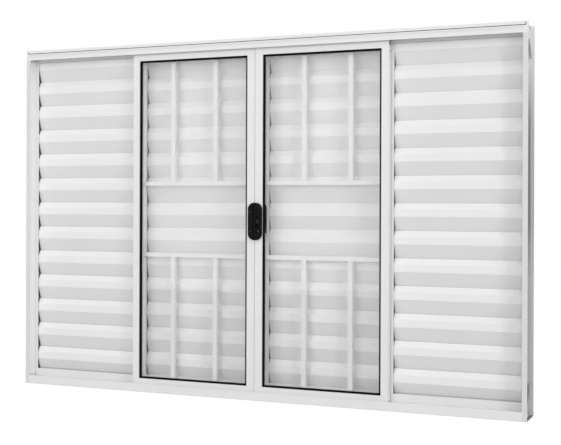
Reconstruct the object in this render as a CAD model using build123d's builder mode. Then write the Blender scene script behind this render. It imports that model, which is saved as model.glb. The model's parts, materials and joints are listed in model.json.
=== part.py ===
from build123d import *
import os

# Sliding shutter window in white aluminium, closed, seen from the room.
# X runs to the right, Y towards the outside and Z up, in millimetres.
# The origin is on the level that the sill stands on, in the middle of the window.
# A depth is measured from the room face of the frame, towards the outside.

# Outer frame
frame_width = 1500
frame_height = 1000
frame_wall = 1.5
jamb_lip = 13
jamb_groove = 9
head_lip = 28.3
head_reveal = 8
head_reveal_height = 2
head_reveal_depth = 1
head_reveal_turn = 7.5
sill_lip = 24
sill_rear_lip = 16
divider_height = 19
track_height = 6.5
track_width = 2
weep_width = 30
weep_height = 4
weep_rise = 2.5
weep_places = (150, 450)

# Three lanes in the depth of the frame
glass_set_back = 11
glass_depth = 20
glass_play = 1
shutter_depth = 25
shutter_play = 2
fixed_depth = 23.5
fixed_play = 0.5

# Widths, measured from the middle of the window outwards
fixed_width = 371
fixed_fit = 1
glass_overlap = 17.5
shutter_overlap = 22.5
meeting_gap = 1

# Heights
running_gap = 1
lift_gap = 7.5
glass_bottom_rail = 28.3
glass_top_rail = 37.7
gutter_top = 41.5
hood_drop = 32
guide_notch_height = 30
guide_notch_depth = 11

# Aluminium sections of the leaves
section_wall = 1.3
glass_stile = 20
meeting_stile = 22.8
glazing_channel = 13
glazing_lip = 1.5
fixed_outer_stile = 8.5
fixed_inner_stile = 25.5
shutter_stile = 22
slat_channel = 8
slat_end_fit = 0.3
rail_floor_drop = 16.2
rail_ceiling_rise = 15

# Slats
slat_nominal_pitch = 73
slat_sheet = 1
slat_set_back = 3
slat_face = 20
slat_brow = 15
slat_brow_depth = 8
slat_foot_depth = 14
slat_overlap = 4
slat_drip = 4
lowest_edge_rise = 30.4
highest_edge_drop = 21.9

# Glass and its gasket
glass_thickness = 4
pane_set_back = 7.8
gasket_fit = 0.3
gasket_bed = 2
gasket_show = 5.2

# Security grille
grille_bar = 12
grille_wall = 1
grille_pitch = 135
grille_bars_per_side = 2
grille_window = 205.5

# Shell latch on the meeting stiles
latch_height = 103
latch_width = 40.2
latch_outer_width = 45.6
latch_overhang = 17.1
latch_split = 2.4
latch_corner = 18.5
latch_level = 493.5
latch_room_reach = 9
latch_outer_reach = 1.5
latch_edge = 1.2
latch_pocket_width = 11.4
latch_pocket_height = 60
latch_pocket_drop = 5
latch_pocket = 5
latch_lever_fit = 0.3
latch_lever_reach = 3
latch_grips = 5
latch_grip_pitch = 4

# Rollers under the moving leaves
roller_radius = 7
roller_width = 6
roller_groove = 1
roller_inset = 60

# Anchor strips in the grooves of the jambs
anchor_length = 52
anchor_width = 14
anchor_sheet = 1.2
anchor_flare = 5
anchor_inset = 62
anchor_depth = 60

# Derived places
divider_room = glass_set_back + glass_depth + glass_play
fixed_front = divider_room + frame_wall + fixed_play
divider_outer = fixed_front + fixed_depth + fixed_play
shutter_front = divider_outer + frame_wall + shutter_play
frame_depth = shutter_front + shutter_depth + shutter_play + frame_wall
depth_datum = frame_depth / 2

half_width = frame_width / 2
jamb_face = half_width - jamb_groove - frame_wall
fixed_edge = jamb_face - fixed_fit - fixed_width
glass_edge = fixed_edge + glass_overlap
shutter_edge = fixed_edge + shutter_overlap
meeting_edge = meeting_gap / 2

track_top = frame_wall + track_height
leaf_bottom = track_top + running_gap
leaf_top = frame_height - frame_wall - lift_gap
hood_bottom = frame_height - hood_drop

glazing_bottom = leaf_bottom + glass_bottom_rail
glazing_top = leaf_top - glass_top_rail

lowest_edge = gutter_top + lowest_edge_rise
highest_edge = hood_bottom - highest_edge_drop
slat_gaps = round((highest_edge - lowest_edge) / slat_nominal_pitch)
slat_pitch = (highest_edge - lowest_edge) / slat_gaps
slat_levels = [lowest_edge + slat_pitch * k for k in range(slat_gaps + 1)]

glass_middle = glass_set_back + glass_depth / 2
shutter_middle = shutter_front + shutter_depth / 2
grille_middle = (sill_lip + frame_height - head_lip) / 2 - 1
grille_depth = fixed_front + (fixed_depth - grille_bar) / 2


def y_at(depth):
    """Y of a depth that is measured from the room face."""
    return depth - depth_datum


def cross_plane(x, z=0):
    """Plane across the window at X, drawn in height and depth, facing left."""
    return Plane(origin=(x, 0, z), x_dir=(0, 0, 1), z_dir=(-1, 0, 0))


def face_plane(depth):
    """Plane parallel to the window at a depth, facing the room."""
    return Plane.XZ.offset(-y_at(depth))


def plate(a0, a1, b0, b1, mode=Mode.ADD):
    """Rectangle of the open sketch between two pairs of limits."""
    with Locations(((a0 + a1) / 2, (b0 + b1) / 2)):
        Rectangle(abs(a1 - a0), abs(b1 - b0), mode=mode)


def tube(a, b):
    """Section of a square tube of the grille, centred at a and b."""
    with Locations((a, b)):
        Rectangle(grille_bar, grille_bar)
        Rectangle(grille_bar - 2 * grille_wall, grille_bar - 2 * grille_wall, mode=Mode.SUBTRACT)


def channel_section(closed_at, mouth_at, front, depth, channel, closed=True, lip=0.0):
    """Two walls and a floor behind a channel, with an outer wall or open behind."""
    way = 1 if mouth_at > closed_at else -1
    floor = mouth_at - way * channel
    room, outside = y_at(front), y_at(front + depth)
    plate(closed_at, mouth_at, room, room + section_wall)
    plate(closed_at, mouth_at, outside - section_wall, outside)
    plate(floor - way * section_wall, floor, room, outside)
    if closed:
        plate(closed_at, closed_at + way * section_wall, room, outside)
    if lip:
        inner = mouth_at - way * section_wall
        plate(inner, mouth_at, room, room + section_wall + lip)
        plate(inner, mouth_at, outside - section_wall - lip, outside)


def upright(z0, z1, *section, **options):
    """Vertical extrusion of a channel section."""
    with BuildPart() as piece:
        with BuildSketch(Plane.XY.offset(z0)):
            channel_section(*section, **options)
        extrude(amount=z1 - z0)
    return piece


def crosspiece(x0, x1, *section, **options):
    """Horizontal extrusion of a channel section."""
    with BuildPart() as piece:
        with BuildSketch(cross_plane(x1)):
            channel_section(*section, **options)
        extrude(amount=x1 - x0)
    return piece


def mirrored(source):
    """The same piece on the other side of the middle."""
    with BuildPart() as piece:
        add(source.part)
        mirror(about=Plane.YZ, mode=Mode.REPLACE)
    return piece


def save(piece, label):
    """Label a finished piece and write it."""
    piece.part.label = label
    export_step(piece.part, f"parts/{label}.step")


def save_pair(piece, label):
    """Write a piece of the left half and its mirror image."""
    save(piece, f"left_{label}")
    save(mirrored(piece), f"right_{label}")


def jamb():
    """Left jamb: web, mortar groove, a lip on each face, and the turn of the head's groove."""
    outer = -half_width
    with BuildPart() as piece:
        with BuildSketch():
            plate(outer + jamb_groove, outer + jamb_groove + frame_wall, y_at(0), y_at(frame_depth))
            plate(outer, outer + jamb_lip, y_at(0), y_at(frame_wall))
            plate(outer, outer + jamb_lip, y_at(frame_depth - frame_wall), y_at(frame_depth))
        extrude(amount=frame_height)
        level = frame_height - head_reveal
        inner = outer + jamb_lip
        with BuildSketch(face_plane(0)):
            plate(inner - head_reveal_turn, inner, level - head_reveal_height, level)
            plate(
                inner - head_reveal_turn, inner - head_reveal_turn + head_reveal_height, level, frame_height
            )
        extrude(amount=-head_reveal_depth, mode=Mode.SUBTRACT)
    return piece


def track(plate_z, lip_z, rear_lip_z, divider_z, rib_z=None, reveal_z=None):
    """Head or sill: a plate with two dividers, and a lip on each face between the jambs."""
    with BuildPart() as piece:
        with BuildSketch(cross_plane(jamb_face)):
            inner = (y_at(frame_wall), y_at(frame_depth - frame_wall))
            plate(*plate_z, *inner)
            for depth in (divider_room, divider_outer):
                plate(*divider_z, y_at(depth), y_at(depth + frame_wall))
            if rib_z:
                for middle in (y_at(glass_middle), y_at(shutter_middle)):
                    plate(*rib_z, middle - track_width / 2, middle + track_width / 2)
        extrude(amount=2 * jamb_face)
        with BuildSketch(cross_plane(half_width - jamb_lip)):
            plate(*lip_z, y_at(0), y_at(frame_wall))
            plate(*rear_lip_z, y_at(frame_depth - frame_wall), y_at(frame_depth))
            if reveal_z:
                plate(*reveal_z, y_at(0), y_at(head_reveal_depth), mode=Mode.SUBTRACT)
        extrude(amount=2 * (half_width - jamb_lip))
    return piece


def slats(x0, x1, front):
    """Louvre slats of rolled sheet: brow, face and blade down to a drip."""
    face = y_at(front + slat_set_back)
    brow_top = slat_face + slat_brow
    foot = brow_top - slat_pitch - slat_overlap
    with BuildPart() as piece:
        with BuildSketch(*[cross_plane(x1, z) for z in slat_levels]):
            with BuildLine():
                face_line = FilletPolyline(
                    (brow_top, face + slat_brow_depth),
                    (slat_face, face),
                    (0, face),
                    (foot, face + slat_foot_depth),
                    radius=slat_sheet,
                )
                Line(face_line @ 1, (foot - slat_drip, face + slat_foot_depth))
                offset(amount=slat_sheet, side=Side.LEFT)
            make_face()
        extrude(amount=x1 - x0)
    return piece


def leaf_gasket(x0, x1, z0, z1):
    """Rubber channel that wraps the edge of the pane and fills the glazing channel."""
    deep = glazing_channel - gasket_fit
    bed = section_wall + glazing_lip
    pane = deep - gasket_bed
    with BuildPart() as piece:
        with BuildSketch(face_plane(glass_set_back + bed)):
            plate(x0 - deep, x1 + deep, z0 - deep, z1 + deep)
            plate(x0 + gasket_show, x1 - gasket_show, z0 + gasket_show, z1 - gasket_show, Mode.SUBTRACT)
        extrude(amount=2 * bed - glass_depth)
        with BuildSketch(face_plane(glass_set_back + pane_set_back)):
            plate(x0 - pane, x1 + pane, z0 - pane, z1 + pane)
        extrude(amount=-glass_thickness, mode=Mode.SUBTRACT)
    return piece


def leaf_glass(x0, x1, z0, z1):
    """Pane that seats in the gasket on all four sides."""
    pane = glazing_channel - gasket_fit - gasket_bed
    with BuildPart() as piece:
        with BuildSketch(face_plane(glass_set_back + pane_set_back)):
            plate(x0 - pane, x1 + pane, z0 - pane, z1 + pane)
        extrude(amount=-glass_thickness)
    return piece


def rollers(places):
    """Grooved wheels with their axle stubs, on the ribs of the sill."""
    with BuildPart() as piece:
        for x, middle, depth in places:
            axle = depth / 2 - section_wall
            centre = Vector(x, y_at(middle), track_top + roller_radius - roller_groove)
            with BuildSketch(Plane(centre, x_dir=(0, 0, 1), z_dir=(-1, 0, 0))):
                with BuildLine():
                    Polyline(
                        (0, -axle),
                        (2, -axle),
                        (2, -roller_width / 2),
                        (roller_radius, -roller_width / 2),
                        (roller_radius, -track_width / 2),
                        (roller_radius - roller_groove, -track_width / 2),
                        (roller_radius - roller_groove, track_width / 2),
                        (roller_radius, track_width / 2),
                        (roller_radius, roller_width / 2),
                        (2, roller_width / 2),
                        (2, axle),
                        (0, axle),
                        close=True,
                    )
                make_face()
            revolve(axis=Axis(centre, (0, 1, 0)))
    return piece


os.makedirs("parts", exist_ok=True)

# Outer frame
plate_thick = frame_height - frame_wall
save_pair(jamb(), "jamb")
head_track = track(
    plate_z=(plate_thick, frame_height),
    lip_z=(frame_height - head_lip, frame_height),
    rear_lip_z=(frame_height - head_lip, frame_height),
    divider_z=(frame_height - divider_height, frame_height),
    reveal_z=(frame_height - head_reveal - head_reveal_height, frame_height - head_reveal),
)
save(head_track, "head_track")
sill_track = track(
    plate_z=(0, frame_wall),
    lip_z=(0, sill_lip),
    rear_lip_z=(0, sill_rear_lip),
    divider_z=(0, divider_height),
    rib_z=(0, track_top),
)
with BuildPart() as drained_sill:
    add(sill_track.part)
    with BuildSketch(face_plane(divider_room - 1)):
        for x in weep_places:
            for side in (-x, x):
                plate(side - weep_width / 2, side + weep_width / 2, weep_rise, weep_rise + weep_height)
    extrude(amount=divider_room - frame_depth - 2, mode=Mode.SUBTRACT)
save(drained_sill, "sill_track")

# Fixed shutters, one beside each jamb in the middle lane
fixed_outer = -(jamb_face - fixed_fit)
fixed_inner = -fixed_edge
fixed_span = (fixed_outer + fixed_outer_stile, fixed_inner - fixed_inner_stile)
fixed_z = (frame_wall, frame_height - frame_wall)
fixed_lane = (fixed_front, fixed_depth)
save_pair(
    upright(*fixed_z, fixed_outer, fixed_span[0], *fixed_lane, fixed_outer_stile - section_wall),
    "fixed_shutter_jamb_stile",
)
save_pair(
    upright(*fixed_z, fixed_inner, fixed_span[1], *fixed_lane, slat_channel),
    "fixed_shutter_inner_stile",
)
save_pair(
    crosspiece(*fixed_span, fixed_z[0], gutter_top, *fixed_lane, rail_floor_drop),
    "fixed_shutter_bottom_rail",
)
save_pair(
    crosspiece(*fixed_span, fixed_z[1], hood_bottom, *fixed_lane, rail_ceiling_rise, closed=False),
    "fixed_shutter_top_rail",
)
save_pair(
    slats(
        fixed_outer + section_wall + slat_end_fit,
        fixed_span[1] + slat_channel - slat_end_fit,
        fixed_front,
    ),
    "fixed_shutter_slats",
)

# Sliding shutters, closed behind the grille in the outer lane
leaf_z = (leaf_bottom, leaf_top)
shutter_lane = (shutter_front, shutter_depth)
shutter_span = (-shutter_edge + shutter_stile, -meeting_edge - shutter_stile)
save_pair(
    upright(*leaf_z, -shutter_edge, shutter_span[0], *shutter_lane, slat_channel),
    "sliding_shutter_outer_stile",
)
save_pair(
    upright(*leaf_z, -meeting_edge, shutter_span[1], *shutter_lane, slat_channel),
    "sliding_shutter_meeting_stile",
)
save_pair(
    crosspiece(*shutter_span, leaf_bottom, gutter_top, *shutter_lane, rail_floor_drop, closed=False),
    "sliding_shutter_bottom_rail",
)
save_pair(
    crosspiece(*shutter_span, leaf_top, hood_bottom, *shutter_lane, rail_ceiling_rise, closed=False),
    "sliding_shutter_top_rail",
)
save_pair(
    slats(
        shutter_span[0] - slat_channel + slat_end_fit,
        shutter_span[1] + slat_channel - slat_end_fit,
        shutter_front,
    ),
    "sliding_shutter_slats",
)

# Glass leaves, closed in the room lane
glass_lane = (glass_set_back, glass_depth)
glass_span = (-glass_edge + glass_stile, -meeting_edge - meeting_stile)
glazing = dict(lip=glazing_lip)
outer_stile = upright(*leaf_z, -glass_edge, glass_span[0], *glass_lane, glazing_channel, **glazing)
with BuildPart() as notched_stile:
    add(outer_stile.part)
    with BuildSketch(cross_plane(-glass_edge + section_wall)):
        notch_front = y_at(glass_set_back + (glass_depth - guide_notch_depth) / 2)
        plate(leaf_top - guide_notch_height, leaf_top, notch_front, notch_front + guide_notch_depth)
    extrude(amount=section_wall, mode=Mode.SUBTRACT)
save_pair(notched_stile, "glass_leaf_outer_stile")
save_pair(
    upright(*leaf_z, -meeting_edge, glass_span[1], *glass_lane, glazing_channel, **glazing),
    "glass_leaf_meeting_stile",
)
save_pair(
    crosspiece(
        *glass_span, leaf_bottom, glazing_bottom, *glass_lane, glazing_channel, closed=False, **glazing
    ),
    "glass_leaf_bottom_rail",
)
save_pair(
    crosspiece(
        *glass_span, leaf_top, glazing_top, *glass_lane, glazing_channel, closed=False, **glazing
    ),
    "glass_leaf_top_rail",
)
save_pair(leaf_gasket(*glass_span, glazing_bottom, glazing_top), "glass_leaf_gasket")
save_pair(leaf_glass(*glass_span, glazing_bottom, glazing_top), "glass_leaf_pane")

# Rollers of the moving leaves
roller_places = []
for span, middle, depth in (
    (glass_span, glass_middle, glass_depth),
    (shutter_span, shutter_middle, shutter_depth),
):
    for x in (span[0] + roller_inset, span[1] - roller_inset):
        roller_places += [(x, middle, depth), (-x, middle, depth)]
save(rollers(roller_places), "leaf_rollers")

# Security grille between the fixed shutters
grille_levels = (grille_middle - grille_window / 2, grille_middle + grille_window / 2)
grille_y = (y_at(grille_depth), y_at(grille_depth + grille_bar))
for name, level in zip(("lower", "upper"), grille_levels):
    with BuildPart() as grille_rail:
        with BuildSketch(cross_plane(fixed_edge)):
            tube(level, sum(grille_y) / 2)
        extrude(amount=2 * fixed_edge)
    save(grille_rail, f"grille_{name}_rail")
bar_spans = (
    (fixed_z[0], grille_levels[0] - grille_bar / 2),
    (grille_levels[1] + grille_bar / 2, fixed_z[1]),
)
with BuildPart() as grille_bars:
    for bottom, top in bar_spans:
        with BuildSketch(Plane.XY.offset(bottom)):
            for k in range(-grille_bars_per_side, grille_bars_per_side + 1):
                tube(k * grille_pitch, sum(grille_y) / 2)
        extrude(amount=top - bottom)
save(grille_bars, "grille_bars")

# Shell latch: a keeper on the left leaf, a body with the lever on the right one, and a shell behind
latch_left = -latch_overhang
latch_right = latch_left + latch_width
latch_bottom = latch_level - latch_height / 2
latch_top = latch_level + latch_height / 2
pocket_x = (meeting_edge + latch_right) / 2
pocket_z = latch_level - latch_pocket_drop


def latch_half(cut_from, cut_to):
    """Rounded casting of the latch without what lies between two limits across."""
    with BuildPart() as piece:
        with BuildSketch(face_plane(glass_set_back)):
            with Locations(((latch_left + latch_right) / 2, latch_level)):
                RectangleRounded(latch_width, latch_height, latch_corner)
        extrude(amount=latch_room_reach)
        chamfer(piece.faces().sort_by(Axis.Y)[0].edges(), length=latch_edge)
        with BuildSketch(face_plane(glass_set_back)):
            plate(cut_from, cut_to, latch_bottom, latch_top)
        extrude(amount=latch_room_reach, mode=Mode.SUBTRACT)
    return piece


save(latch_half(-latch_split - meeting_edge, latch_right), "latch_keeper")
with BuildPart() as latch_shell:
    add(latch_half(latch_left, -latch_split + meeting_edge).part)
    with BuildSketch(face_plane(glass_set_back - latch_room_reach)):
        with Locations((pocket_x, pocket_z)):
            Rectangle(latch_pocket_width, latch_pocket_height)
    extrude(amount=-latch_pocket, mode=Mode.SUBTRACT)
save(latch_shell, "latch_shell")
lever_front = glass_set_back - latch_room_reach + latch_pocket - latch_lever_reach
with BuildPart() as latch_lever:
    with BuildSketch(face_plane(lever_front)):
        with Locations((pocket_x, pocket_z)):
            Rectangle(latch_pocket_width - 2 * latch_lever_fit, latch_pocket_height - 2 * latch_lever_fit)
    extrude(amount=-latch_lever_reach)
    with BuildSketch(face_plane(lever_front)):
        for k in range(latch_grips):
            with Locations((pocket_x, pocket_z + (k - latch_grips // 2 - 3) * latch_grip_pitch)):
                Rectangle(latch_pocket_width - 4, latch_grip_pitch / 3)
    extrude(amount=1)
save(latch_lever, "latch_lever")
with BuildPart() as latch_outer_shell:
    with BuildSketch(face_plane(glass_set_back + glass_depth)):
        with Locations((latch_left + latch_outer_width / 2, latch_level)):
            RectangleRounded(latch_outer_width, latch_height, latch_corner)
    extrude(amount=-latch_outer_reach)
save(latch_outer_shell, "latch_outer_shell")

# Anchor strips that flare out of the jamb grooves
groove_face = -half_width + jamb_groove
with BuildPart() as jamb_anchors:
    for z, way in ((anchor_inset, 1), (frame_height - anchor_inset, -1)):
        with BuildSketch(Plane.XZ.offset(-y_at(anchor_depth - anchor_width / 2))):
            with BuildLine():
                Polyline(
                    (groove_face, z - way * anchor_length / 2),
                    (groove_face, z - way * (anchor_length / 2 - 8)),
                    (groove_face - anchor_flare, z + way * anchor_length / 2),
                    (groove_face - anchor_flare - anchor_sheet, z + way * anchor_length / 2),
                    (groove_face - anchor_sheet, z - way * (anchor_length / 2 - 8)),
                    (groove_face - anchor_sheet, z - way * anchor_length / 2),
                    close=True,
                )
            make_face()
        extrude(amount=-anchor_width)
    mirror(about=Plane.YZ)
save(jamb_anchors, "jamb_anchors")
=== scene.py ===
"""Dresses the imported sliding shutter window: finishes, small fittings, light and camera."""

import json
import logging
import math
from dataclasses import dataclass, field
from enum import Enum

import bmesh
import bpy
from mathutils import Matrix, Vector

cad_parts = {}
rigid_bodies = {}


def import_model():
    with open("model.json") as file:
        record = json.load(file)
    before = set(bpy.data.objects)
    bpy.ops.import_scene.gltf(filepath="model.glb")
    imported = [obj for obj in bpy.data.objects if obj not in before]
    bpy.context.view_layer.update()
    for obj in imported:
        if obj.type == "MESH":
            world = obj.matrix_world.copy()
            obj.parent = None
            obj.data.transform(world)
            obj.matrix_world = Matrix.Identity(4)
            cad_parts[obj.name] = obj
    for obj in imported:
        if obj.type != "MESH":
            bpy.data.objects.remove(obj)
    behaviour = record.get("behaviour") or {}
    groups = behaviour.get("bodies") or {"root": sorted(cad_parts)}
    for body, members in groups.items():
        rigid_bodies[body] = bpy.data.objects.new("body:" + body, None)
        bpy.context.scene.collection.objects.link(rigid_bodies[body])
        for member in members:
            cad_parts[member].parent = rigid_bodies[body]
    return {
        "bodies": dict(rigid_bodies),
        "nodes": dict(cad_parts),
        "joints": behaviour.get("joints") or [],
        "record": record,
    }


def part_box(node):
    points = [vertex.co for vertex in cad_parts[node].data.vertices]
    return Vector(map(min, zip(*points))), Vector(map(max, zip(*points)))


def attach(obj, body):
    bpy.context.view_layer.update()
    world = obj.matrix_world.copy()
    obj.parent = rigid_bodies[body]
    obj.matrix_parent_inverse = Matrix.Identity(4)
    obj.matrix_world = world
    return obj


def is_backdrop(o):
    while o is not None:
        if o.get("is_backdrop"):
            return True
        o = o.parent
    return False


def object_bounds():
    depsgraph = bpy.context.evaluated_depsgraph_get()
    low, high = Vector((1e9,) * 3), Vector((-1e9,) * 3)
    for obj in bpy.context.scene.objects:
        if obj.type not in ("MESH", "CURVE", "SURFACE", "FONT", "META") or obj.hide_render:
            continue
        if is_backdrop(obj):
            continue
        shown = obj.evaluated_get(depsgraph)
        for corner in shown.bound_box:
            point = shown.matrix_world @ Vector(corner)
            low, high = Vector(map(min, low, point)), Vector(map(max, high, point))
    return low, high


LOG = logging.getLogger("shutter_window")
ROOT_BODY = "root"
MM = 0.001
RELIEF_DEPTH = 0.2 * MM
EDGE_SAMPLES = 6
NOISE_CORE = (0.3, 0.7)
SIDES = (1.0, -1.0)
WHITE = (1.0, 1.0, 1.0)
MASK = {"Mask": "Float"}
Triple = tuple[float, float, float]
Shape = bmesh.types.BMesh
Socket = bpy.types.NodeSocket
Tree = bpy.types.NodeTree
Material = bpy.types.Material


class Axis(Enum):
    """Direction that a face or a fitting looks in."""

    ROOM = Vector((0.0, -1.0, 0.0))
    LEFT = Vector((-1.0, 0.0, 0.0))
    RIGHT = Vector((1.0, 0.0, 0.0))
    UP = Vector((0.0, 0.0, 1.0))

    def turn(self) -> Matrix:
        """Rotation that carries +Z onto this direction."""
        return self.value.to_track_quat("Z", "Y").to_matrix().to_4x4()


class NodeBoard:
    """A node tree with short ways to add and join nodes."""

    def __init__(self, tree: Tree) -> None:
        """Keeps the tree of a material, a world or a group, and clears it."""
        self.tree = tree
        tree.nodes.clear()

    def add(self, kind: str, feeds: dict | None = None, **settings: object) -> bpy.types.Node:
        """Adds one node and feeds its inputs.

        Args:
            kind: the node's type name.
            feeds: a socket, colour, vector or number for each input, by its name or number.
            settings: attributes to set on the node before that.

        Returns:
            The new node.
        """
        node = self.tree.nodes.new(kind)
        for name, value in settings.items():
            setattr(node, name, value)
        for key, value in (feeds or {}).items():
            socket = node.inputs[key]
            if isinstance(value, Socket):
                self.tree.links.new(value, socket)
            else:
                socket.default_value = (*value, 1.0) if socket.type == "RGBA" else value
        return node

    def math(self, operation: str, first: object, second: object = 0.0) -> Socket:
        """Works out one operation on sockets or numbers."""
        return self.add("ShaderNodeMath", {0: first, 1: second}, operation=operation).outputs[0]

    def product(self, first: object, *others: object) -> Socket:
        """Multiplies sockets and numbers one after the other.

        Args:
            first: a socket or a number.
            others: more of them.

        Returns:
            The product's socket.
        """
        for other in others:
            first = self.math("MULTIPLY", first, other)
        return first

    def place(self) -> Socket:
        """Place of the shaded point in the object's own coordinates."""
        return self.add("ShaderNodeTexCoord").outputs["Object"]

    def stretched(self, scale: Triple) -> Socket:
        """The same place, scaled along each axis."""
        return self.add("ShaderNodeMapping", {"Vector": self.place(), "Scale": scale}).outputs["Vector"]

    def geometry(self, name: str) -> Socket:
        """Named output of a Geometry node."""
        return self.add("ShaderNodeNewGeometry").outputs[name]

    def split(self, vector: Socket) -> tuple[Socket, ...]:
        """X, Y and Z of a vector."""
        return tuple(self.add("ShaderNodeSeparateXYZ", {"Vector": vector}).outputs)

    def noise(self, vector: Socket, scale: float, detail: float = 2.0) -> Socket:
        """Noise on a vector."""
        feeds = {"Vector": vector, "Scale": scale, "Detail": detail}
        return self.add("ShaderNodeTexNoise", feeds).outputs["Fac"]

    def spread(self, value: Socket, low: float, high: float, start: float = 0.0, end: float = 1.0) -> Socket:
        """Carries a value from start..end to low..high."""
        ends = {"From Min": start, "From Max": end, "To Min": low, "To Max": high}
        return self.add("ShaderNodeMapRange", {"Value": value, **ends}).outputs["Result"]

    def mix(self, factor: Socket, first: object, second: object) -> Socket:
        """Mixes two colours, each a socket or three numbers."""
        return self.add("ShaderNodeMix", {0: factor, 6: first, 7: second}, data_type="RGBA").outputs[2]

    def mask(self, group: Tree, **values: object) -> Socket:
        """Places a shared mask with values for its inputs."""
        return self.add("ShaderNodeGroup", values, node_tree=group).outputs["Mask"]

    def between(self, factor: Socket, first: bpy.types.Node, second: bpy.types.Node) -> Socket:
        """Mixes the shaders that two nodes put out."""
        feeds = {0: factor, 1: first.outputs[0], 2: second.outputs[0]}
        return self.add("ShaderNodeMixShader", feeds).outputs[0]


def new_material(name: str) -> tuple[Material, NodeBoard]:
    """Makes a material with an empty board.

    Args:
        name: the material's name.

    Returns:
        The material and its board.
    """
    material = bpy.data.materials.new(name)
    material.use_nodes = True
    return material, NodeBoard(material.node_tree)


class SharedGroups:
    """Node groups that more than one finish uses, each built once."""

    def __init__(self) -> None:
        """Builds the groups."""
        self.coating = self._coating()
        self.edge = self._edge()
        self.dust = self._dust()
        self.occlusion_shade = self._occlusion_shade()
        self.zone = self._zone()

    @staticmethod
    def _group(name: str, inputs: dict[str, str], outputs: dict[str, str]) -> tuple:
        """Makes an empty group with named sockets.

        Args:
            name: the group's name.
            inputs: the kind of each input socket, by its name.
            outputs: the kind of each output socket, by its name.

        Returns:
            The group's board, and the sockets that bring its inputs.
        """
        group = bpy.data.node_groups.new(name, "ShaderNodeTree")
        for way, sockets in (("INPUT", inputs), ("OUTPUT", outputs)):
            for label, kind in sockets.items():
                group.interface.new_socket(name=label, in_out=way, socket_type=f"NodeSocket{kind}")
        board = NodeBoard(group)
        return board, board.add("NodeGroupInput").outputs

    def _coating(self) -> Tree:
        """Powder coat: slow change of tone, fine peel in the height and uneven gloss.

        Returns:
            The group.
        """
        board, given = self._group(
            "coating",
            {"Colour": "Color", "Mottle": "Float", "Gloss": "Float"},
            {"Colour": "Color", "Roughness": "Float", "Height": "Float"},
        )
        place = board.place()
        drift = board.spread(board.noise(place, 7.0, 3.0), -1.0, 1.0, *NOISE_CORE)
        value = board.math("ADD", 1.0, board.product(drift, given["Mottle"]))
        shade = board.add("ShaderNodeHueSaturation", {"Color": given["Colour"], "Value": value})
        uneven = board.spread(board.noise(place, 38.0), -0.05, 0.06)
        board.add("NodeGroupOutput", {
            "Colour": shade.outputs["Color"],
            "Roughness": board.math("ADD", given["Gloss"], uneven),
            "Height": board.noise(place, 620.0, 1.5),
        })
        return board.tree

    def _edge(self) -> Tree:
        """Mask that is 1 along sharp edges and 0 on flat faces.

        Returns:
            The group.
        """
        board, given = self._group("edge_mask", {"Width": "Float"}, MASK)
        soft = board.add("ShaderNodeBevel", {"Radius": given["Width"]}, samples=EDGE_SAMPLES)
        normals = {0: soft.outputs["Normal"], 1: board.geometry("Normal")}
        likeness = board.add("ShaderNodeVectorMath", normals, operation="DOT_PRODUCT").outputs["Value"]
        board.add("NodeGroupOutput", {"Mask": board.spread(likeness, 1.0, 0.0, 0.80, 0.995)})
        return board.tree

    def _dust(self) -> Tree:
        """Mask of fine dust that settles on what faces up, in patches.

        Returns:
            The group.
        """
        board, given = self._group("dust_mask", {"Amount": "Float"}, MASK)
        level = board.spread(board.split(board.geometry("Normal"))[2], 0.0, 1.0, 0.35, 0.95)
        patch = board.spread(board.noise(board.place(), 55.0, 4.0), 0.3, 1.0)
        board.add("NodeGroupOutput", {"Mask": board.product(level, patch, given["Amount"])})
        return board.tree

    def _occlusion_shade(self) -> Tree:
        """Mask of painted shade in joints, grooves and corners, taken from ambient occlusion.

        Returns:
            The group.
        """
        board, given = self._group("occlusion_shade_mask", {"Reach": "Float", "Amount": "Float"}, MASK)
        hollow_shade = board.add("ShaderNodeAmbientOcclusion", {"Distance": given["Reach"]}, samples=EDGE_SAMPLES)
        depth = board.spread(hollow_shade.outputs["AO"], 1.0, 0.0, 0.12, 0.72)
        patch = board.spread(board.noise(board.place(), 90.0, 3.0), 0.75, 1.1)
        board.add("NodeGroupOutput", {"Mask": board.product(depth, patch, given["Amount"])})
        return board.tree

    def _zone(self) -> Tree:
        """Mask that is 1 in a box, with Fold in its mirror image too, and fades out at the faces.

        Returns:
            The group.
        """
        board, given = self._group(
            "zone_mask", {"Low": "Vector", "High": "Vector", "Fade": "Vector", "Fold": "Float"}, MASK
        )
        x, y, z = board.split(board.place())
        turned = board.math("SUBTRACT", board.math("ABSOLUTE", x), x)
        x = board.math("ADD", x, board.product(turned, given["Fold"]))
        low, high, fade = (board.split(given[name]) for name in ("Low", "High", "Fade"))
        mask: object = 1.0
        for place, bottom, top, soft in zip((x, y, z), low, high, fade):
            for start, end in ((bottom, place), (place, top)):
                rise = board.math("DIVIDE", board.math("SUBTRACT", end, start), soft)
                mask = board.product(mask, board.spread(rise, 0.0, 1.0))
        board.add("NodeGroupOutput", {"Mask": mask})
        return board.tree


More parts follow.
